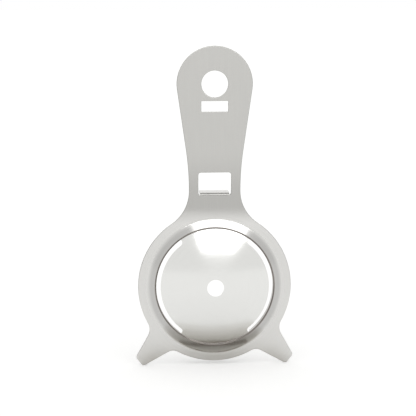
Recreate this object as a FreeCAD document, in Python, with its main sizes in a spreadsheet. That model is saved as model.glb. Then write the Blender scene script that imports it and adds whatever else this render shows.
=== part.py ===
"""Hawthorne strainer: one pressed sheet-metal plate and the coiled wire spring on its back.

The strainer hangs by the hole in its handle. The origin is that hole's centre, +Z points away
from the disc, X runs across the plate, and the domed front of the plate faces -Y.
"""
import FreeCAD
import Part
import Sketcher
import math
import os
from FreeCAD import Placement, Rotation, Vector

SIZES = [
    ("sheet_thickness", 1.2, "pressed sheet"),
    ("head_radius", 18.75, "rounded end of the handle"),
    ("neck_half_width", 12.75, "narrowest half width of the handle"),
    ("neck_drop", 52.7, "hang hole down to the narrowest place"),
    ("flank_radius", 140.0, "gentle curve of the handle's sides above the neck"),
    ("neck_blend_radius", 19.6, "curve from the neck into the disc"),
    ("disc_radius", 38.2, "outside of the flat flange"),
    ("disc_drop", 100.9, "hang hole down to the disc's centre"),
    ("handle_root_rise", 30.6, "disc's centre up to where the handle's blank ends in the disc"),
    ("hang_hole_radius", 6.6, "hole to hang the strainer by"),
    ("upper_slot_width", 13.2, "small slot under the hang hole"),
    ("upper_slot_height", 5.2, "small slot under the hang hole"),
    ("upper_slot_drop", 11.0, "hang hole down to the small slot's middle"),
    ("window_width", 16.2, "window the rim tab is cut from"),
    ("window_top_drop", 43.8, "hang hole down to the window's top edge"),
    ("tab_level_drop", 53.7, "hang hole down to the rim tab's upper face"),
    ("tab_width", 14.4, "rim tab, bent back from the window's lower edge"),
    ("tab_length", 8.1, "rim tab, from the plate's front face to its tip"),
    ("tab_bend_radius", 1.4, "outside of the rim tab's bend"),
    ("tab_tip_round", 0.3, "softened edges across the rim tab's tip"),
    ("slot_corner_radius", 0.35, "corners of the small slot"),
    ("window_corner_radius", 1.3, "corners of the window"),
    ("prong_tip_x", 35.9, "lower corner of a prong's end"),
    ("prong_tip_drop", 40.4, "the same corner, below the disc's centre"),
    ("prong_heel_x", 39.6, "upper corner of a prong's end"),
    ("prong_heel_drop", 35.9, "the same corner, below the disc's centre"),
    ("prong_outer_x", 30.9, "where a prong's outer edge meets the disc"),
    ("prong_outer_drop", 20.4, "the same place, below the disc's centre"),
    ("prong_inner_x", 16.0, "where a prong's lower edge runs into the disc"),
    ("prong_inner_drop", 29.4, "the same place, below the disc's centre"),
    ("prong_waist_radius", 7.0, "curve between a prong's outer edge and the disc"),
    ("prong_notch_radius", 4.8, "curve between a prong's lower edge and the disc"),
    ("prong_corner_radius", 1.6, "corners of a prong's end"),
    ("rim_round", 0.3, "softened edges of the blanked outline and holes"),
    ("bowl_join_radius", 35.0, "flange inside this is pressed with the bowl"),
    ("wall_foot_radius", 33.8, "foot of the raised step"),
    ("wall_head_radius", 29.8, "crest of the raised step"),
    ("groove_radius", 29.3, "bottom of the fine groove between the step and the dome"),
    ("step_height", 1.2, "from the flange to the step's crest"),
    ("groove_height", 0.8, "from the flange to the bottom of the groove"),
    ("dome_radius", 90.0, "sphere of the dome"),
    ("drain_hole_radius", 4.2, "hole in the middle of the dome"),
    ("wall_foot_bend", 3.0, "bend at the foot of the step"),
    ("wall_head_bend", 0.3, "bend along the crest of the step"),
    ("groove_bend", 0.3, "bend along the bottom of the groove"),
    ("slit_inner_radius", 27.05, "inner edge of the two curved pouring slits"),
    ("slit_outer_radius", 29.2, "outer edge of the two curved pouring slits"),
    ("slit_half_angle", 54.7, "half the arc of one slit, in degrees"),
    ("slit_end_radius", 1.6, "rounded inner corners of a slit"),
    ("lip_half_angle", 53.0, "half the arc of the lip behind a slit, in degrees"),
    ("lip_thickness", 1.0, "lip bent back from a slit's outer edge"),
    ("lip_reach", 1.8, "plate's mid-plane back to the lip's tip"),
    ("ring_radius", 33.7, "middle of the coil spring's ring"),
    ("coil_radius", 2.75, "middle of the wire in one turn of the spring"),
    ("wire_radius", 0.45, "spring wire"),
    ("spring_depth", 4.0, "plate's mid-plane back to the spring's middle"),
    ("spring_turns", 108, "turns of wire round the ring"),
    ("spring_gap_angle", 4.0, "opening between the spring's two ends, in degrees"),
]
# Surface poles along one turn of the spring wire, and poles round the wire.
WIRE_STEPS = 12
WIRE_SIDES = 8
# How close an edge lies to the place it is looked for at, and two equal lengths, in mm.
NEAR = 0.6
SAME = 0.01
# The least metal a cut must take away, in cubic mm.
LEAST_CUT = 1.0

doc = FreeCAD.newDocument("hawthorne_strainer")
size = {name: value for name, value, _ in SIZES}


def make_sheet():
    """Keep the driving dimensions in a spreadsheet, one alias each."""
    sheet = doc.addObject("Spreadsheet::Sheet", "Sizes")
    for row, (name, value, meaning) in enumerate(SIZES, 1):
        sheet.set(f"A{row}", name)
        sheet.set(f"B{row}", str(value))
        sheet.set(f"C{row}", meaning)
        sheet.setAlias(f"B{row}", name)
    doc.recompute()


def add_sketch(body, name, role):
    """Start a sketch on one of the body's own origin planes."""
    sketch = body.newObject("Sketcher::SketchObject", name)
    plane = next(item for item in body.Origin.OriginFeatures if item.Role == role)
    sketch.AttachmentSupport = [(plane, "")]
    sketch.MapMode = "FlatFace"
    return sketch


def tie(sketch, kind, *places):
    """Add a geometric constraint."""
    sketch.addConstraint(Sketcher.Constraint(kind, *places))


def drive(sketch, formula, value, kind, *places):
    """Add a dimension that follows a formula in the sheet's names."""
    index = sketch.addConstraint(Sketcher.Constraint(kind, *places, value))
    sketch.setExpression(f"Constraints[{index}]", formula)


def pin_point(sketch, place, x_formula, y_formula, point):
    """Fix a point of a sketch at two signed distances from the sketch's origin."""
    drive(sketch, x_formula, point.x, "DistanceX", -1, 1, *place)
    drive(sketch, y_formula, point.y, "DistanceY", -1, 1, *place)


def add_polygon(sketch, corners):
    """Draw a closed polygon from (x formula, y formula, x, y) corners, every corner driven."""
    points = [Vector(x, y, 0) for _, _, x, y in corners]
    first = sketch.GeometryCount
    count = len(points)
    for index in range(count):
        sketch.addGeometry(Part.LineSegment(points[index], points[(index + 1) % count]))
    for index in range(count):
        tie(sketch, "Coincident", first + index, 2, first + (index + 1) % count, 1)
    for index, (x_formula, y_formula, _, _) in enumerate(corners):
        pin_point(sketch, (first + index, 1), x_formula, y_formula, points[index])


def add_circle(sketch, radius_formula, radius, drop_formula, drop):
    """Draw a circle on the plate's centre line."""
    centre = Vector(0, -drop, 0)
    index = sketch.addGeometry(Part.Circle(centre, Vector(0, 0, 1), radius))
    drive(sketch, radius_formula, radius, "Radius", index)
    tie(sketch, "PointOnObject", index, 3, -2)
    if drop:
        drive(sketch, drop_formula, -drop, "DistanceY", -1, 1, index, 3)
    else:
        tie(sketch, "PointOnObject", index, 3, -1)


def add_band(sketch, middle, half_angle, inner, outer, half_name, inner_name, outer_name):
    """Draw a curved band round the disc's centre, between two radii and two radial ends."""
    centre = Vector(0, -size["disc_drop"], 0)
    low = math.radians(middle - half_angle)
    high = math.radians(middle + half_angle)
    arcs = []
    for radius in (inner, outer):
        circle = Part.Circle(centre, Vector(0, 0, 1), radius)
        arcs.append(sketch.addGeometry(Part.ArcOfCircle(circle, low, high)))
    inside, outside = arcs
    ends = []
    for angle in (low, high):
        ray = Vector(math.cos(angle), math.sin(angle), 0)
        ends.append(sketch.addGeometry(Part.LineSegment(centre + ray * inner, centre + ray * outer)))
    for place, end in ((1, ends[0]), (2, ends[1])):
        tie(sketch, "Coincident", inside, place, end, 1)
        tie(sketch, "Coincident", outside, place, end, 2)
    tie(sketch, "Coincident", inside, 3, outside, 3)
    tie(sketch, "PointOnObject", inside, 3, -2)
    drive(sketch, "-Sizes.disc_drop", centre.y, "DistanceY", -1, 1, inside, 3)
    drive(sketch, f"Sizes.{inner_name}", inner, "Radius", inside)
    drive(sketch, f"Sizes.{outer_name}", outer, "Radius", outside)
    tie(sketch, "PointOnObject", inside, 3, ends[0])
    tie(sketch, "PointOnObject", inside, 3, ends[1])
    reach = Vector(math.cos(math.radians(middle)) * inner, 0, 0)
    axis = sketch.addGeometry(Part.LineSegment(centre, centre + reach))
    sketch.setConstruction(axis, True)
    tie(sketch, "Coincident", axis, 1, inside, 3)
    tie(sketch, "Horizontal", axis)
    tie(sketch, "PointOnObject", axis, 2, inside)
    drive(sketch, f"Sizes.{half_name} * 1 deg", math.radians(half_angle), "Angle", axis, 1, ends[1], 1)
    tie(sketch, "Symmetric", inside, 1, inside, 2, axis)


def add_pad(body, name, sketch, length_formula):
    """Pad a sketch to both sides of its plane."""
    pad = body.newObject("PartDesign::Pad", name)
    pad.Profile = sketch
    pad.SideType = "Symmetric"
    pad.setExpression("Length", length_formula)
    doc.recompute()


def add_cut(body, name, sketch):
    """Cut a sketch right through, and make sure that something was cut."""
    before = body.Shape.Volume
    pocket = body.newObject("PartDesign::Pocket", name)
    pocket.Profile = sketch
    pocket.SideType = "Symmetric"
    pocket.Type = "ThroughAll"
    doc.recompute()
    if body.Shape.Volume > before - LEAST_CUT:
        raise RuntimeError(f"{name} cuts nothing")


def round_edges(body, name, radius_formula, radius, wanted):
    """Fillet the edges of the body's tip that a test picks."""
    base = body.Tip
    names = [f"Edge{index}" for index, edge in enumerate(base.Shape.Edges, 1) if wanted(edge)]
    if not names:
        raise RuntimeError(f"{name} finds no edge")
    fillet = body.newObject("PartDesign::Fillet", name)
    fillet.Base = (base, names)
    fillet.Radius = radius
    fillet.setExpression("Radius", radius_formula)
    doc.recompute()
    if not fillet.isValid():
        raise RuntimeError(f"{name} failed")


def through_edge(edge, places):
    """True for a straight edge across the sheet's thickness at one of the (x, z) places."""
    box = edge.BoundBox
    if box.XLength > SAME or box.ZLength > SAME:
        return False
    middle = edge.CenterOfMass
    return any(math.hypot(middle.x - x, middle.z - z) < NEAR for x, z in places)


def both_sides(x, z):
    """A place and its mirror image."""
    return [(x, z), (-x, z)]


def draw_handle(sketch):
    """Outline of the handle: round head, straight tapering sides, gentle flanks, parallel root."""
    half = size["neck_half_width"]
    flank = size["flank_radius"]
    head = size["head_radius"]
    flank_x = half + flank
    flank_y = -size["neck_drop"]
    reach = math.hypot(flank_x, flank_y)
    taper = math.atan2(-flank_y, flank_x) - math.acos((head + flank) / reach)
    normal = Vector(math.cos(taper), -math.sin(taper), 0)
    root_y = -size["disc_drop"] + size["handle_root_rise"]
    head_circle = Part.Circle(Vector(0, 0, 0), Vector(0, 0, 1), head)
    arc = sketch.addGeometry(Part.ArcOfCircle(head_circle, -taper, math.pi + taper))
    feet = []
    for side in (1, -1):
        outward = Vector(normal.x * side, normal.y, 0)
        flank_centre = Vector(flank_x * side, flank_y, 0)
        shoulder = outward * head
        hip = flank_centre - outward * flank
        neck = Vector(half * side, flank_y, 0)
        foot = Vector(half * side, root_y, 0)
        line = sketch.addGeometry(Part.LineSegment(shoulder, hip))
        circle = Part.Circle(flank_centre, Vector(0, 0, 1), flank)
        angles = (math.pi - taper, math.pi) if side == 1 else (0.0, taper)
        curve = sketch.addGeometry(Part.ArcOfCircle(circle, *angles))
        root = sketch.addGeometry(Part.LineSegment(neck, foot))
        upper, lower = (1, 2) if side == 1 else (2, 1)
        tie(sketch, "Tangent", arc, 1 if side == 1 else 2, line, 1)
        tie(sketch, "Tangent", line, 2, curve, upper)
        tie(sketch, "Tangent", curve, lower, root, 1)
        tie(sketch, "Vertical", root)
        drive(sketch, "Sizes.flank_radius", flank, "Radius", curve)
        pin_point(sketch, (root, 1), f"{side} * Sizes.neck_half_width", "-Sizes.neck_drop", neck)
        feet.append((root, foot))
    base = sketch.addGeometry(Part.LineSegment(feet[0][1], feet[1][1]))
    tie(sketch, "Coincident", base, 1, feet[0][0], 2)
    tie(sketch, "Coincident", base, 2, feet[1][0], 2)
    tie(sketch, "Horizontal", base)
    root_formula = "-Sizes.disc_drop + Sizes.handle_root_rise"
    drive(sketch, root_formula, root_y, "DistanceY", -1, 1, base, 1)
    tie(sketch, "Coincident", arc, 3, -1, 1)
    drive(sketch, "Sizes.head_radius", head, "Radius", arc)


def draw_prongs(sketch):
    """The two rest prongs, each a tapering four-sided blank that runs into the disc."""
    corners = ("outer", "inner", "tip", "heel")
    for side in (1, -1):
        outline = []
        for corner in corners:
            x = side * size[f"prong_{corner}_x"]
            y = -size["disc_drop"] - size[f"prong_{corner}_drop"]
            x_formula = f"{side} * Sizes.prong_{corner}_x"
            y_formula = f"-Sizes.disc_drop - Sizes.prong_{corner}_drop"
            outline.append((x_formula, y_formula, x, y))
        add_polygon(sketch, outline)


def draw_slot(sketch, width_name, top, bottom):
    """A rectangle on the centre line; top and bottom are (formula, value) pairs."""
    half = size[width_name] / 2
    corners = [(side, level) for side, level in ((-1, bottom), (1, bottom), (1, top), (-1, top))]
    add_polygon(sketch, [
        (f"{side} * Sizes.{width_name} / 2", level[0], side * half, level[1])
        for side, level in corners
    ])


def draw_bowl(sketch):
    """Section of the pressed bowl in the plane of the disc's axis: step, groove and dome."""
    half = size["sheet_thickness"] / 2
    groove = size["groove_height"]
    sphere = size["dome_radius"]
    drain = size["drain_hole_radius"]
    sag = math.sqrt(sphere ** 2 - size["groove_radius"] ** 2)
    crown = math.sqrt(sphere ** 2 - drain ** 2) - sag
    levels = [
        ("bowl_join_radius", "0", 0.0),
        ("wall_foot_radius", "0", 0.0),
        ("wall_head_radius", "Sizes.step_height", size["step_height"]),
        ("groove_radius", "Sizes.groove_height", groove),
    ]
    arcs = []
    chains = []
    for face in (-1, 1):
        skin = face * half
        points = [Vector(skin - rise, size[name], 0) for name, _, rise in levels]
        lines = [sketch.addGeometry(Part.LineSegment(*pair)) for pair in zip(points, points[1:])]
        for before, after in zip(lines, lines[1:]):
            tie(sketch, "Coincident", before, 2, after, 1)
        for index, (name, rise_formula, _) in enumerate(levels):
            place = (lines[index], 1) if index < len(lines) else (lines[-1], 2)
            x_formula = f"{face} * Sizes.sheet_thickness / 2 - {rise_formula}"
            pin_point(sketch, place, x_formula, f"Sizes.{name}", points[index])
        centre = Vector(skin - groove + sag, 0, 0)
        start = math.atan2(drain, -(sag + crown))
        finish = math.atan2(size["groove_radius"], -sag)
        circle = Part.Circle(centre, Vector(0, 0, 1), sphere)
        arc = sketch.addGeometry(Part.ArcOfCircle(circle, finish, start))
        tie(sketch, "Coincident", arc, 1, lines[-1], 2)
        tie(sketch, "PointOnObject", arc, 3, -1)
        drive(sketch, "Sizes.dome_radius", sphere, "Radius", arc)
        drive(sketch, "Sizes.drain_hole_radius", drain, "DistanceY", -1, 1, arc, 2)
        arcs.append((arc, Vector(skin - groove - crown, drain, 0)))
        chains.append((lines[0], points[0]))
    edge = sketch.addGeometry(Part.LineSegment(arcs[0][1], arcs[1][1]))
    tie(sketch, "Coincident", edge, 1, arcs[0][0], 2)
    tie(sketch, "Coincident", edge, 2, arcs[1][0], 2)
    join = sketch.addGeometry(Part.LineSegment(chains[0][1], chains[1][1]))
    tie(sketch, "Coincident", join, 1, chains[0][0], 1)
    tie(sketch, "Coincident", join, 2, chains[1][0], 1)


def bend_circle(edge, radius, level):
    """True for a full circle round the disc's axis, of one radius, at one depth."""
    if edge.Curve.TypeId != "Part::GeomCircle" or not edge.Closed:
        return False
    centre = edge.Curve.Center
    on_axis = math.hypot(centre.x, centre.z + size["disc_drop"]) < SAME
    return on_axis and abs(centre.y - level) < SAME and abs(edge.Curve.Radius - radius) < SAME


def draw_tab(sketch):
    """Side view of the rim tab: a quarter bend out of the plate and a flat running back."""
    half = size["sheet_thickness"] / 2
    thick = size["sheet_thickness"]
    bend = size["tab_bend_radius"]
    level = -size["tab_level_drop"]
    tip = size["tab_length"] - half
    centre = Vector(bend - half, level - bend, 0)
    plane = Vector(0, 0, 1)
    outer = sketch.addGeometry(Part.ArcOfCircle(Part.Circle(centre, plane, bend), math.pi / 2, math.pi))
    inner = sketch.addGeometry(
        Part.ArcOfCircle(Part.Circle(centre, plane, bend - thick), math.pi / 2, math.pi))
    top = sketch.addGeometry(Part.LineSegment(Vector(centre.x, level, 0), Vector(tip, level, 0)))
    end = sketch.addGeometry(Part.LineSegment(Vector(tip, level, 0), Vector(tip, level - thick, 0)))
    low = sketch.addGeometry(
        Part.LineSegment(Vector(tip, level - thick, 0), Vector(centre.x, level - thick, 0)))
    root = sketch.addGeometry(
        Part.LineSegment(Vector(half, centre.y, 0), Vector(-half, centre.y, 0)))
    tie(sketch, "Coincident", outer, 3, inner, 3)
    tie(sketch, "Tangent", outer, 1, top, 1)
    tie(sketch, "Coincident", top, 2, end, 1)
    tie(sketch, "Coincident", end, 2, low, 1)
    tie(sketch, "Tangent", low, 2, inner, 1)
    tie(sketch, "Coincident", inner, 2, root, 1)
    tie(sketch, "Coincident", root, 2, outer, 2)
    tie(sketch, "Horizontal", top)
    tie(sketch, "Vertical", end)
    tie(sketch, "Horizontal", root)
    drive(sketch, "Sizes.tab_bend_radius", bend, "Radius", outer)
    drive(sketch, "Sizes.tab_bend_radius - Sizes.sheet_thickness", bend - thick, "Radius", inner)
    pin_point(sketch, (outer, 3), "Sizes.tab_bend_radius - Sizes.sheet_thickness / 2",
              "-Sizes.tab_level_drop - Sizes.tab_bend_radius", centre)
    drive(sketch, "Sizes.tab_length - Sizes.sheet_thickness / 2", tip, "DistanceX", -1, 1, top, 2)


def blank_outline(body):
    """Blank the flat plate: disc, handle and prongs, with every inside corner blended."""
    disc = add_sketch(body, "disc_outline", "XZ_Plane")
    add_circle(disc, "Sizes.disc_radius", size["disc_radius"], "-Sizes.disc_drop", size["disc_drop"])
    add_pad(body, "disc_blank", disc, "Sizes.sheet_thickness")
    handle = add_sketch(body, "handle_outline", "XZ_Plane")
    draw_handle(handle)
    add_pad(body, "handle_blank", handle, "Sizes.sheet_thickness")
    prongs = add_sketch(body, "prong_outline", "XZ_Plane")
    draw_prongs(prongs)
    add_pad(body, "prong_blank", prongs, "Sizes.sheet_thickness")
    disc_z = -size["disc_drop"]
    half = size["neck_half_width"]
    neck_z = disc_z + math.sqrt(size["disc_radius"] ** 2 - half ** 2)
    neck = both_sides(half, neck_z)
    round_edges(body, "neck_blend", "Sizes.neck_blend_radius", size["neck_blend_radius"],
                lambda edge: through_edge(edge, neck))
    ends = both_sides(size["prong_tip_x"], disc_z - size["prong_tip_drop"])
    ends += both_sides(size["prong_heel_x"], disc_z - size["prong_heel_drop"])
    round_edges(body, "prong_corners", "Sizes.prong_corner_radius", size["prong_corner_radius"],
                lambda edge: through_edge(edge, ends))
    for name, start, finish in (("waist", "outer", "heel"), ("notch", "inner", "tip")):
        meet = both_sides(*meeting_place(start, finish))
        round_edges(body, f"prong_{name}", f"Sizes.prong_{name}_radius", size[f"prong_{name}_radius"],
                    lambda edge: through_edge(edge, meet))


def meeting_place(start, finish):
    """Where the prong edge between two named corners crosses the disc's outline."""
    first = Vector(size[f"prong_{start}_x"], -size[f"prong_{start}_drop"], 0)
    last = Vector(size[f"prong_{finish}_x"], -size[f"prong_{finish}_drop"], 0)
    along = last - first
    along.normalize()
    middle = first.dot(along)
    root = math.sqrt(middle ** 2 - first.dot(first) + size["disc_radius"] ** 2)
    place = first + along * (root - middle)
    return place.x, place.y - size["disc_drop"]


def pierce_handle(body):
    """Punch the hang hole, the small slot and the window that the rim tab comes from."""
    hole = add_sketch(body, "hang_hole_outline", "XZ_Plane")
    add_circle(hole, "Sizes.hang_hole_radius", size["hang_hole_radius"], "", 0)
    add_cut(body, "hang_hole", hole)
    slot_top = -size["upper_slot_drop"] + size["upper_slot_height"] / 2
    slot_bottom = slot_top - size["upper_slot_height"]
    slot = add_sketch(body, "upper_slot_outline", "XZ_Plane")
    draw_slot(slot, "upper_slot_width",
              ("-Sizes.upper_slot_drop + Sizes.upper_slot_height / 2", slot_top),
              ("-Sizes.upper_slot_drop - Sizes.upper_slot_height / 2", slot_bottom))
    add_cut(body, "upper_slot", slot)
    window_top = -size["window_top_drop"]
    window_bottom = -size["tab_level_drop"] - size["tab_bend_radius"]
    window = add_sketch(body, "tab_window_outline", "XZ_Plane")
    draw_slot(window, "window_width", ("-Sizes.window_top_drop", window_top),
              ("-Sizes.tab_level_drop - Sizes.tab_bend_radius", window_bottom))
    add_cut(body, "tab_window", window)
    for opening, top, bottom in (("slot", slot_top, slot_bottom), ("window", window_top, window_bottom)):
        half = size["upper_slot_width" if opening == "slot" else "window_width"] / 2
        corners = both_sides(half, top) + both_sides(half, bottom)
        round_edges(body, f"{opening}_corners", f"Sizes.{opening}_corner_radius",
                    size[f"{opening}_corner_radius"], lambda edge: through_edge(edge, corners))


def soften_rims(body):
    """Break every edge of the flat blank, front and back, as tumbling leaves it."""
    half = size["sheet_thickness"] / 2

    def on_a_skin(edge):
        box = edge.BoundBox
        return box.YLength < SAME and abs(abs(box.Center.y) - half) < SAME

    round_edges(body, "soft_rims", "Sizes.rim_round", size["rim_round"], on_a_skin)


def press_bowl(body):
    """Press the step, the groove and the dome, with a bend along each fold of both skins."""
    opening = add_sketch(body, "bowl_join_outline", "XZ_Plane")
    add_circle(opening, "Sizes.bowl_join_radius", size["bowl_join_radius"],
               "-Sizes.disc_drop", size["disc_drop"])
    add_cut(body, "bowl_join", opening)
    section = add_sketch(body, "bowl_section", "YZ_Plane")
    section.setExpression("AttachmentOffset.Base.y", "-Sizes.disc_drop")
    doc.recompute()
    draw_bowl(section)
    bowl = body.newObject("PartDesign::Revolution", "bowl")
    bowl.Profile = section
    bowl.ReferenceAxis = (section, ["H_Axis"])
    bowl.Angle = 360.0
    doc.recompute()
    half = size["sheet_thickness"] / 2
    folds = (("wall_foot", 0.0), ("wall_head", size["step_height"]), ("groove", size["groove_height"]))
    for name, rise in folds:
        for face, skin in (("front", -half), ("back", half)):
            round_edges(body, f"{name}_{face}", f"Sizes.{name}_bend", size[f"{name}_bend"],
                        lambda edge: bend_circle(edge, size[f"{name}_radius"], skin - rise))


def cut_slits(body):
    """Cut the two curved pouring slits in the dome's margin, their inner corners rounded."""
    for name, middle in (("right", 0.0), ("left", 180.0)):
        slit = add_sketch(body, f"{name}_slit_outline", "XZ_Plane")
        add_band(slit, middle, size["slit_half_angle"], size["slit_inner_radius"],
                 size["slit_outer_radius"], "slit_half_angle", "slit_inner_radius", "slit_outer_radius")
        add_cut(body, f"{name}_slit", slit)
    end = math.radians(size["slit_half_angle"])
    x = size["slit_inner_radius"] * math.cos(end)
    rise = size["slit_inner_radius"] * math.sin(end)
    corners = both_sides(x, rise - size["disc_drop"]) + both_sides(x, -rise - size["disc_drop"])
    round_edges(body, "slit_ends", "Sizes.slit_end_radius", size["slit_end_radius"],
                lambda edge: through_edge(edge, corners))


def bend_lips(body):
    """Add the lips bent back from the slits' outer edges, which hold the spring."""
    outer = size["slit_outer_radius"] + size["lip_thickness"]
    start = "Sizes.sheet_thickness / 2 + Sizes.groove_height / 2"
    for name, middle in (("right", 0.0), ("left", 180.0)):
        lip = add_sketch(body, f"{name}_lip_outline", "XZ_Plane")
        add_band(lip, middle, size["lip_half_angle"], size["slit_outer_radius"], outer,
                 "lip_half_angle", "slit_outer_radius", "slit_outer_radius + Sizes.lip_thickness")
        lip.setExpression("AttachmentOffset.Base.z", start)
        pad = body.newObject("PartDesign::Pad", f"{name}_lip")
        pad.Profile = lip
        pad.Reversed = True
        pad.setExpression("Length", f"Sizes.lip_reach + {start}")
        doc.recompute()


def bend_tab(body):
    """Add the rim tab, with the edges across its tip softened."""
    tab = add_sketch(body, "rim_tab_section", "YZ_Plane")
    draw_tab(tab)
    add_pad(body, "rim_tab", tab, "Sizes.tab_width")
    tip = size["tab_length"] - size["sheet_thickness"] / 2

    def across_the_tip(edge):
        box = edge.BoundBox
        return box.YMin > tip - SAME and box.ZLength < SAME

    round_edges(body, "tab_tip", "Sizes.tab_tip_round", size["tab_tip_round"], across_the_tip)


def make_plate():
    """The one-piece plate."""
    body = doc.addObject("PartDesign::Body", "strainer_plate")
    body.Label = "strainer_plate"
    blank_outline(body)
    pierce_handle(body)
    soften_rims(body)
    press_bowl(body)
    cut_slits(body)
    bend_lips(body)
    bend_tab(body)
    return body


def wire_centre(step):
    """Centre line of the spring wire: a helix bent round in a ring about the disc's axis."""
    turn = 2 * math.pi * step / WIRE_STEPS
    share = step / WIRE_STEPS / size["spring_turns"]
    sweep = math.radians(size["spring_gap_angle"] / 2 + share * (360 - size["spring_gap_angle"]))
    radius = size["ring_radius"] + size["coil_radius"] * math.cos(turn)
    out = Vector(math.sin(sweep), 0, math.cos(sweep))
    centre = out * radius + Vector(0, size["coil_radius"] * math.sin(turn), 0)
    return centre, out * math.cos(turn) + Vector(0, math.sin(turn), 0)


def wire_row(step):
    """One ring of surface poles round the wire."""
    centre, outward = wire_centre(step)
    along = wire_centre(step + SAME)[0] - wire_centre(step - SAME)[0]
    along.normalize()
    outward = outward - along * outward.dot(along)
    outward.normalize()
    side = along.cross(outward)
    spread = 2 * math.pi / WIRE_SIDES
    pole_radius = size["wire_radius"] * 3 / (2 + math.cos(spread))
    return [
        centre + (outward * math.cos(spread * index) + side * math.sin(spread * index)) * pole_radius
        for index in range(WIRE_SIDES)
    ]


def wire_face(rows):
    """The wire's skin over one turn, a cubic surface closed round the wire."""
    count = len(rows)
    surface = Part.BSplineSurface()
    surface.buildFromPolesMultsKnots(
        rows, [1] * (count + 4), [1] * (WIRE_SIDES + 1),
        list(range(count + 4)), list(range(WIRE_SIDES + 1)), False, True, 3, 3)
    surface.segment(3, 3 + WIRE_STEPS, 0, WIRE_SIDES)
    return surface.toShape()


def wire_end(face, step):
    """Flat cut end of the wire."""
    centre = wire_centre(step)[0]
    rim = min(face.Edges, key=lambda edge: (edge.CenterOfMass - centre).Length)
    return Part.Face(Part.Wire(rim))


def make_spring():
    """The coil spring: one wire, wound turn by turn and closed by its two cut ends."""
    turns = int(size["spring_turns"])
    rows = [wire_row(step) for step in range(turns * WIRE_STEPS + 3)]
    faces = [
        wire_face(rows[turn * WIRE_STEPS:(turn + 1) * WIRE_STEPS + 3])
        for turn in range(turns)
    ]
    ends = [wire_end(faces[0], 1), wire_end(faces[-1], turns * WIRE_STEPS + 1)]
    skin = Part.Shell(faces + ends)
    skin.sewShape()
    spring = doc.addObject("Part::Feature", "coil_spring")
    spring.Label = "coil_spring"
    spring.Shape = Part.Solid(skin)
    middle = Vector(0, size["spring_depth"], -size["disc_drop"])
    spring.Placement = Placement(middle, Rotation())
    return spring


def check_document(parts):
    """Stop if any object failed or any part's shape is empty or broken."""
    for item in doc.Objects:
        if "Invalid" in item.State or "Error" in item.State:
            raise RuntimeError(f"{item.Name}: {item.State}")
    for part in parts:
        shape = part.Shape
        if shape.isNull() or not shape.isValid() or len(shape.Solids) != 1:
            raise RuntimeError(f"{part.Label} has no single valid solid")
        box = shape.BoundBox
        print(part.Label, "volume", round(shape.Volume, 1), "size", round(box.XLength, 2),
              round(box.YLength, 2), round(box.ZLength, 2))


def main():
    """Build both pieces, check them and write a STEP file for each."""
    make_sheet()
    parts = [make_plate(), make_spring()]
    doc.recompute()
    check_document(parts)
    os.makedirs("parts", exist_ok=True)
    for part in parts:
        part.Shape.exportStep(os.path.join("parts", f"{part.Label}.step"))


main()
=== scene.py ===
"""Looks for the hawthorne strainer: brushed sheet steel, a bright wire spring and studio light."""
import math
import bpy
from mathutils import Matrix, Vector


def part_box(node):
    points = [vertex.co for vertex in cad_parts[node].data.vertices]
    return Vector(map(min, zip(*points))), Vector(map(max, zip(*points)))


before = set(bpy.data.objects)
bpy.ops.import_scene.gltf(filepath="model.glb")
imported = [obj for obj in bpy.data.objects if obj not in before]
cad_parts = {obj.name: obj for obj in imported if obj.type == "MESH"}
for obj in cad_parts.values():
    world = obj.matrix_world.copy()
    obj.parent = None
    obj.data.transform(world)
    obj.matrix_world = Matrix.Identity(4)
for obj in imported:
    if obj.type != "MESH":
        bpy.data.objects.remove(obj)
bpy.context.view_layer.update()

PLATE = "strainer_plate"
SPRING = "coil_spring"
LOW, HIGH = (Vector(corner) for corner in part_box(PLATE))
RING_LOW, RING_HIGH = (Vector(corner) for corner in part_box(SPRING))
DISC_Z = (RING_LOW.z + RING_HIGH.z) / 2
RING_RADIUS = (RING_HIGH.x - RING_LOW.x) / 2
FLOOR_Z = LOW.z

CAMERA_ELEVATION = 9.6
CAMERA_AZIMUTH = -4.7
CAMERA_DISTANCE = 0.90
CAMERA_ASIDE = -0.0033
CAMERA_DROP = 0.0005
CAMERA_LENS = 157.3

FLOOR_REACH = 3.0
SHADE_LIFT = 0.0001

# Brush marks per metre across the grain and along it, and the smooth clouds over them.
GRAIN_ACROSS = 5200.0
GRAIN_ALONG = 55.0
GRAIN_DETAIL = 3.0
GRAIN_ROUGHNESS = 0.65
GRAIN_RELIEF = 0.00001
CLOUD_SCALE = 60.0
CLOUD_DETAIL = 4.0
GRAIN_TO_ROUGHNESS = 0.10
CLOUD_TO_ROUGHNESS = 0.05

# Where the sheet's painted light and shade change, and where its finish turns from polished to satin at the
# step's foot, from and to, in ring radii out from the disc's axis.
OFF_DOME = (0.79, 0.805)
INTO_CREASE = (0.790, 0.796)
OUT_OF_CREASE = (0.812, 0.820)
ONTO_FLANGE = (0.865, 0.925)
OFF_STEP = (0.915, 0.945)
# The same, in ring radii up from the disc's axis.
ABOVE_DISC = (0.84, 1.10)
ONTO_HANDLE = (0.92, 1.14)
UP_NECK = (1.2, 1.9)

# Dark and bright grain tone of each part of the sheet; the steps from part to part are painted light and
# shade on one steel, brightest on the dome and darkest on the neck.
DOME_TONES = ((0.74, 0.74, 0.725, 1), (0.77, 0.77, 0.755, 1))
STEP_TONES = ((0.49, 0.485, 0.475, 1), (0.52, 0.515, 0.505, 1))
FLANGE_TONES = ((0.645, 0.64, 0.625, 1), (0.685, 0.68, 0.665, 1))
NECK_TONES = ((0.44, 0.435, 0.42, 1), (0.47, 0.465, 0.45, 1))
HANDLE_TONES = ((0.525, 0.52, 0.505, 1), (0.555, 0.55, 0.53, 1))
# Painted shade: the dark line in the crease round the dome.
CREASE_SHADE = (0.23, 0.21, 0.195, 1)
POLISHED = 0.16
SATIN = 0.30
BRUSHED_ANISOTROPY = 0.55

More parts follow.
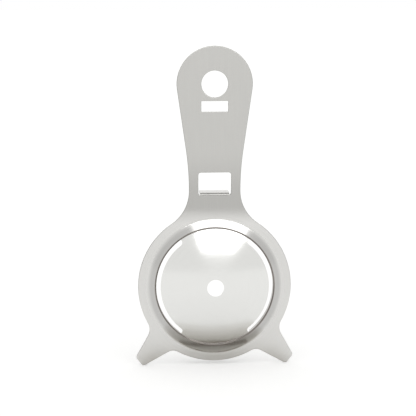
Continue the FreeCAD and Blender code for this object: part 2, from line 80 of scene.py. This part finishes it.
WIRE_TONES = ((0.50, 0.50, 0.495, 1), (0.66, 0.66, 0.65, 1))
WIRE_ROUGHNESS = (0.12, 0.30)
WIRE_MARKS = 900.0
WIRE_RELIEF = 0.00002


def world_light():
    """Even studio surround, pure white where the camera looks past the object."""
    world = bpy.data.worlds.new("studio")
    world.use_nodes = True
    bpy.context.scene.world = world
    nodes = world.node_tree.nodes
    links = world.node_tree.links
    nodes.clear()
    output = nodes.new("ShaderNodeOutputWorld")
    mix = nodes.new("ShaderNodeMixShader")
    path = nodes.new("ShaderNodeLightPath")
    around = nodes.new("ShaderNodeBackground")
    around.inputs["Color"].default_value = (1.0, 1.0, 0.99, 1)
    around.inputs["Strength"].default_value = 0.95
    behind = nodes.new("ShaderNodeBackground")
    behind.inputs["Color"].default_value = (1, 1, 1, 1)
    behind.inputs["Strength"].default_value = 1.0
    links.new(path.outputs["Is Camera Ray"], mix.inputs["Fac"])
    links.new(around.outputs["Background"], mix.inputs[1])
    links.new(behind.outputs["Background"], mix.inputs[2])
    links.new(mix.outputs["Shader"], output.inputs["Surface"])


def direction(azimuth, elevation):
    """Unit vector towards a place in front of the object, in degrees off -Y and above the floor."""
    across = math.radians(azimuth)
    up = math.radians(elevation)
    return Vector((math.sin(across) * math.cos(up), -math.cos(across) * math.cos(up), math.sin(up)))


def flat_piece(name, corners, material):
    """One polygon that belongs to the studio, not to the object."""
    mesh = bpy.data.meshes.new(name)
    mesh.from_pydata(corners, [], [range(len(corners))])
    mesh.materials.append(material)
    piece = bpy.data.objects.new(name, mesh)
    bpy.context.scene.collection.objects.link(piece)
    return piece


def only_in_reflections(piece):
    """Keep a piece of the studio out of sight, so that only the steel shows it."""
    piece.visible_camera = False
    piece.visible_shadow = False
    piece.visible_diffuse = False


def panel(left, right, low, high):
    """Corners of a card that spans these azimuths and elevations."""
    return [(left, low), (right, low), (right, high), (left, high)]


def light_card(name, corners, distance, strength):
    """A glowing card at a distance from the disc, its corners given as directions."""
    material = bpy.data.materials.new(name)
    material.use_nodes = True
    nodes = material.node_tree.nodes
    nodes.clear()
    glow = nodes.new("ShaderNodeEmission")
    glow.inputs["Color"].default_value = (1, 1, 1, 1)
    glow.inputs["Strength"].default_value = strength
    output = nodes.new("ShaderNodeOutputMaterial")
    material.node_tree.links.new(glow.outputs["Emission"], output.inputs["Surface"])
    centre = Vector((0, 0, DISC_Z))
    places = [centre + direction(*corner) * distance for corner in corners]
    only_in_reflections(flat_piece(name, places, material))


def matt_paint(name, tint, roughness):
    """Paint without gloss; gives the material and its shader."""
    material = bpy.data.materials.new(name)
    material.use_nodes = True
    paint = material.node_tree.nodes["Principled BSDF"]
    paint.inputs["Base Color"].default_value = tint
    paint.inputs["Roughness"].default_value = roughness
    paint.inputs["Specular IOR Level"].default_value = 0.0
    return material, paint


def apron(near, far, reach):
    """Outline of a patch in front of the disc, with its half widths at the disc and at its far side."""
    return [(-far, -reach), (far, -reach), (near, 0), (-near, 0)]


def floor_shade(name, outline, lift, tint):
    """Dark patch on the floor, its outline in ring radii from the disc."""
    material, _ = matt_paint(name, tint, roughness=1.0)
    corners = [(x * RING_RADIUS, y * RING_RADIUS, FLOOR_Z + lift) for x, y in outline]
    only_in_reflections(flat_piece(name, corners, material))


def make_floor():
    """Pale floor under the prongs."""
    material, paint = matt_paint("floor_paint", (0.90, 0.90, 0.90, 1), roughness=0.8)
    paint.inputs["Emission Color"].default_value = (1, 1, 1, 1)
    paint.inputs["Emission Strength"].default_value = 0.20
    square = [(-1, -1), (1, -1), (1, 1), (-1, 1)]
    flat_piece("floor", [(x * FLOOR_REACH, y * FLOOR_REACH, FLOOR_Z) for x, y in square], material)


def make_cards():
    """Softboxes in front, behind and above, and dark flags that draw the edges of the steel."""
    front = [(-5.3, 14.6), (20, 13.8), (30, 25), (-9, 25)]
    light_card("front_softbox", front, distance=0.9, strength=3.6)
    light_card("back_softbox", panel(140, 220, 3, 22), distance=0.9, strength=1.3)
    light_card("left_flag", panel(-98, -58, -15, 50), distance=0.16, strength=0.35)
    light_card("right_flag", panel(64, 104, -15, 50), distance=0.16, strength=0.35)
    light_card("back_left_flag", panel(-150, -115, 0, 60), distance=0.95, strength=0.2)
    light_card("back_right_flag", panel(115, 150, 0, 60), distance=0.95, strength=0.2)
    light_card("overhead_flag", [(-35, 56), (35, 56), (90, 84), (-90, 84)], distance=0.8, strength=0.15)
    light_card("top_softbox", [(-90, 70), (90, 70), (145, 42), (-145, 42)], distance=0.85, strength=1.9)


def make_shades():
    """Floor darkening towards the foot of the disc, with a dark strip that the step mirrors."""
    strip_far = [(-0.6, -0.37), (-0.3, -0.335), (0.3, -0.335), (0.6, -0.37)]
    strip_near = [(x, y + 0.07) for x, y in reversed(strip_far)]
    shades = (
        ("far_shade", apron(near=1.1, far=1.0, reach=0.82), (0.93, 0.92, 0.90, 1)),
        ("middle_shade", apron(near=1.0, far=0.9, reach=0.62), (0.78, 0.76, 0.73, 1)),
        ("near_shade", apron(near=0.9, far=0.85, reach=0.46), (0.64, 0.62, 0.58, 1)),
        ("foot_shade", strip_far + strip_near, (0.20, 0.17, 0.14, 1)),
    )
    for level, (name, outline, tint) in enumerate(shades, 1):
        floor_shade(name, outline, level * SHADE_LIFT, tint)


def make_camera():
    """Camera a little above the object and to its left, framed on the whole of it."""
    data = bpy.data.cameras.new("camera")
    data.lens = CAMERA_LENS
    data.sensor_width = 36.0
    data.clip_start = 0.01
    camera = bpy.data.objects.new("camera", data)
    target = Vector((CAMERA_ASIDE, 0, (LOW.z + HIGH.z) / 2 - CAMERA_DROP))
    away = direction(CAMERA_AZIMUTH, CAMERA_ELEVATION)
    camera.location = target + away * CAMERA_DISTANCE
    camera.rotation_euler = (-away).to_track_quat("-Z", "Y").to_euler()
    bpy.context.scene.collection.objects.link(camera)
    bpy.context.scene.camera = camera


def feed(tree, socket, value):
    """Set a socket from a number or a colour, or link another node's output to it."""
    if isinstance(value, (int, float, tuple)):
        socket.default_value = value
    else:
        tree.links.new(value, socket)


def math_node(tree, operation, *values):
    """A maths node of one or two values."""
    node = tree.nodes.new("ShaderNodeMath")
    node.operation = operation
    for socket, value in zip(node.inputs, values):
        feed(tree, socket, value)
    return node.outputs["Value"]


def mixed(tree, kind, factor, first, second):
    """Blend two values, vectors or colours."""
    mix = tree.nodes.new("ShaderNodeMix")
    mix.data_type = kind
    first_input, second_input, result = {"FLOAT": (2, 3, 0), "VECTOR": (4, 5, 1), "RGBA": (6, 7, 2)}[kind]
    tree.links.new(factor, mix.inputs[0])
    feed(tree, mix.inputs[first_input], first)
    feed(tree, mix.inputs[second_input], second)
    return mix.outputs[result]


def ramp(tree, value, low, high):
    """Smooth step from 0 to 1 as a value goes from low to high."""
    step = tree.nodes.new("ShaderNodeMapRange")
    step.interpolation_type = "SMOOTHSTEP"
    step.inputs["From Min"].default_value = low
    step.inputs["From Max"].default_value = high
    tree.links.new(value, step.inputs["Value"])
    return step.outputs["Result"]


def zone(tree, distance, limits):
    """Smooth step across a zone whose limits are given in ring radii."""
    return ramp(tree, distance, *(limit * RING_RADIUS for limit in limits))


def vector_of(tree, *parts):
    """A vector from three numbers or outputs."""
    joined = tree.nodes.new("ShaderNodeCombineXYZ")
    for socket, part in zip(joined.inputs, parts):
        feed(tree, socket, part)
    return joined.outputs["Vector"]


def noise(tree, vector, scale, detail):
    """Noise along a coordinate."""
    texture = tree.nodes.new("ShaderNodeTexNoise")
    texture.inputs["Scale"].default_value = scale
    texture.inputs["Detail"].default_value = detail
    tree.links.new(vector, texture.inputs["Vector"])
    return texture


def relief(tree, steel, marks, strength, depth):
    """Raise a material's marks by a bump."""
    bump = tree.nodes.new("ShaderNodeBump")
    bump.inputs["Strength"].default_value = strength
    bump.inputs["Distance"].default_value = depth
    tree.links.new(marks, bump.inputs["Height"])
    tree.links.new(bump.outputs["Normal"], steel.inputs["Normal"])


def metal(name):
    """A new metallic material, its node tree, its shader and the object's own coordinates."""
    material = bpy.data.materials.new(name)
    material.use_nodes = True
    tree = material.node_tree
    steel = tree.nodes["Principled BSDF"]
    steel.inputs["Metallic"].default_value = 1.0
    return material, tree, steel, tree.nodes.new("ShaderNodeTexCoord").outputs["Object"]


def streaks(tree, *scaled_parts):
    """Fine noise along a coordinate made of values, each with its own scale."""
    vector = vector_of(tree, *(math_node(tree, "MULTIPLY", part, scale) for part, scale in scaled_parts))
    texture = noise(tree, vector, scale=1.0, detail=GRAIN_DETAIL)
    texture.inputs["Roughness"].default_value = GRAIN_ROUGHNESS
    return texture.outputs["Fac"]


def sheet_roughness(tree, place, radius, grain):
    """Polished as far as the step's foot and satin outside it, varied by the grain and by clouds."""
    cloud = noise(tree, place, CLOUD_SCALE, CLOUD_DETAIL).outputs["Fac"]
    rough = mixed(tree, "FLOAT", zone(tree, radius, OFF_STEP), POLISHED, SATIN)
    for marks, share in ((grain, GRAIN_TO_ROUGHNESS), (cloud, CLOUD_TO_ROUGHNESS)):
        off = math_node(tree, "SUBTRACT", marks, 0.5)
        rough = math_node(tree, "ADD", rough, math_node(tree, "MULTIPLY", off, share))
    return rough


def sheet_colour_and_painted_light(tree, height, radius, grain):
    """Painted light and shade by zone: a bright dome, painted shade in the crease round it, a duller step,
    then the flange, the neck and the handle.
    """
    tone = ramp(tree, grain, low=0.25, high=0.75)
    # Painted light and shade: each part's tones are brighter or darker only to stand in for how light falls
    # on the one steel.
    dome, step, flange, neck, top = (
        mixed(tree, "RGBA", tone, *tones)
        for tones in (DOME_TONES, STEP_TONES, FLANGE_TONES, NECK_TONES, HANDLE_TONES))
    margin = mixed(tree, "RGBA", zone(tree, radius, ONTO_FLANGE), step, flange)
    disc = mixed(tree, "RGBA", zone(tree, radius, OFF_DOME), dome, margin)
    # Painted shade: a dark line in the crease round the dome.
    crease = math_node(tree, "SUBTRACT", zone(tree, radius, INTO_CREASE), zone(tree, radius, OUT_OF_CREASE))
    disc = mixed(tree, "RGBA", crease, disc, CREASE_SHADE)
    handle = mixed(tree, "RGBA", zone(tree, height, UP_NECK), neck, top)
    return mixed(tree, "RGBA", zone(tree, height, ABOVE_DISC), disc, handle)


def brushed_steel():
    """Sheet steel brushed along the handle, and in circles round the disc."""
    material, tree, steel, place = metal("brushed_sheet")
    split = tree.nodes.new("ShaderNodeSeparateXYZ")
    tree.links.new(place, split.inputs["Vector"])
    x, y, z = (split.outputs[axis] for axis in "XYZ")
    height = math_node(tree, "SUBTRACT", z, DISC_Z)
    across_squared = math_node(tree, "MULTIPLY", x, x)
    height_squared = math_node(tree, "MULTIPLY", height, height)
    radius = math_node(tree, "SQRT", math_node(tree, "ADD", across_squared, height_squared))
    angle = math_node(tree, "ARCTAN2", height, x)
    on_handle = zone(tree, height, ONTO_HANDLE)
    circles = streaks(tree, (radius, GRAIN_ACROSS), (angle, GRAIN_ALONG * RING_RADIUS), (y, GRAIN_ACROSS))
    lines = streaks(tree, (x, GRAIN_ACROSS), (y, GRAIN_ACROSS), (z, GRAIN_ALONG))
    grain = mixed(tree, "FLOAT", on_handle, circles, lines)
    tree.links.new(sheet_roughness(tree, place, radius, grain), steel.inputs["Roughness"])
    tree.links.new(sheet_colour_and_painted_light(tree, height, radius, grain), steel.inputs["Base Color"])
    cosine, sine = (math_node(tree, "DIVIDE", part, radius) for part in (x, height))
    across_grain = mixed(tree, "VECTOR", on_handle, vector_of(tree, cosine, 0.0, sine), (1.0, 0.0, 0.0))
    tree.links.new(across_grain, steel.inputs["Tangent"])
    steel.inputs["Anisotropic"].default_value = BRUSHED_ANISOTROPY
    relief(tree, steel, grain, strength=0.10, depth=GRAIN_RELIEF)
    return material


def spring_wire():
    """Bright drawn wire with faint die marks."""
    material, tree, steel, place = metal("drawn_wire")
    marks = noise(tree, place, WIRE_MARKS, GRAIN_DETAIL).outputs["Fac"]
    rough = tree.nodes.new("ShaderNodeMapRange")
    rough.inputs["To Min"].default_value, rough.inputs["To Max"].default_value = WIRE_ROUGHNESS
    tree.links.new(marks, rough.inputs["Value"])
    tree.links.new(rough.outputs["Result"], steel.inputs["Roughness"])
    tree.links.new(mixed(tree, "RGBA", marks, *WIRE_TONES), steel.inputs["Base Color"])
    relief(tree, steel, marks, strength=0.15, depth=WIRE_RELIEF)
    return material


def finish_node(node, material):
    """Give a CAD node its material."""
    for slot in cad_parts[node].material_slots:
        slot.material = material


finish_node(PLATE, brushed_steel())
finish_node(SPRING, spring_wire())
world_light()
make_floor()
make_cards()
make_shades()
make_camera()
bpy.context.scene.view_settings.view_transform = "Standard"
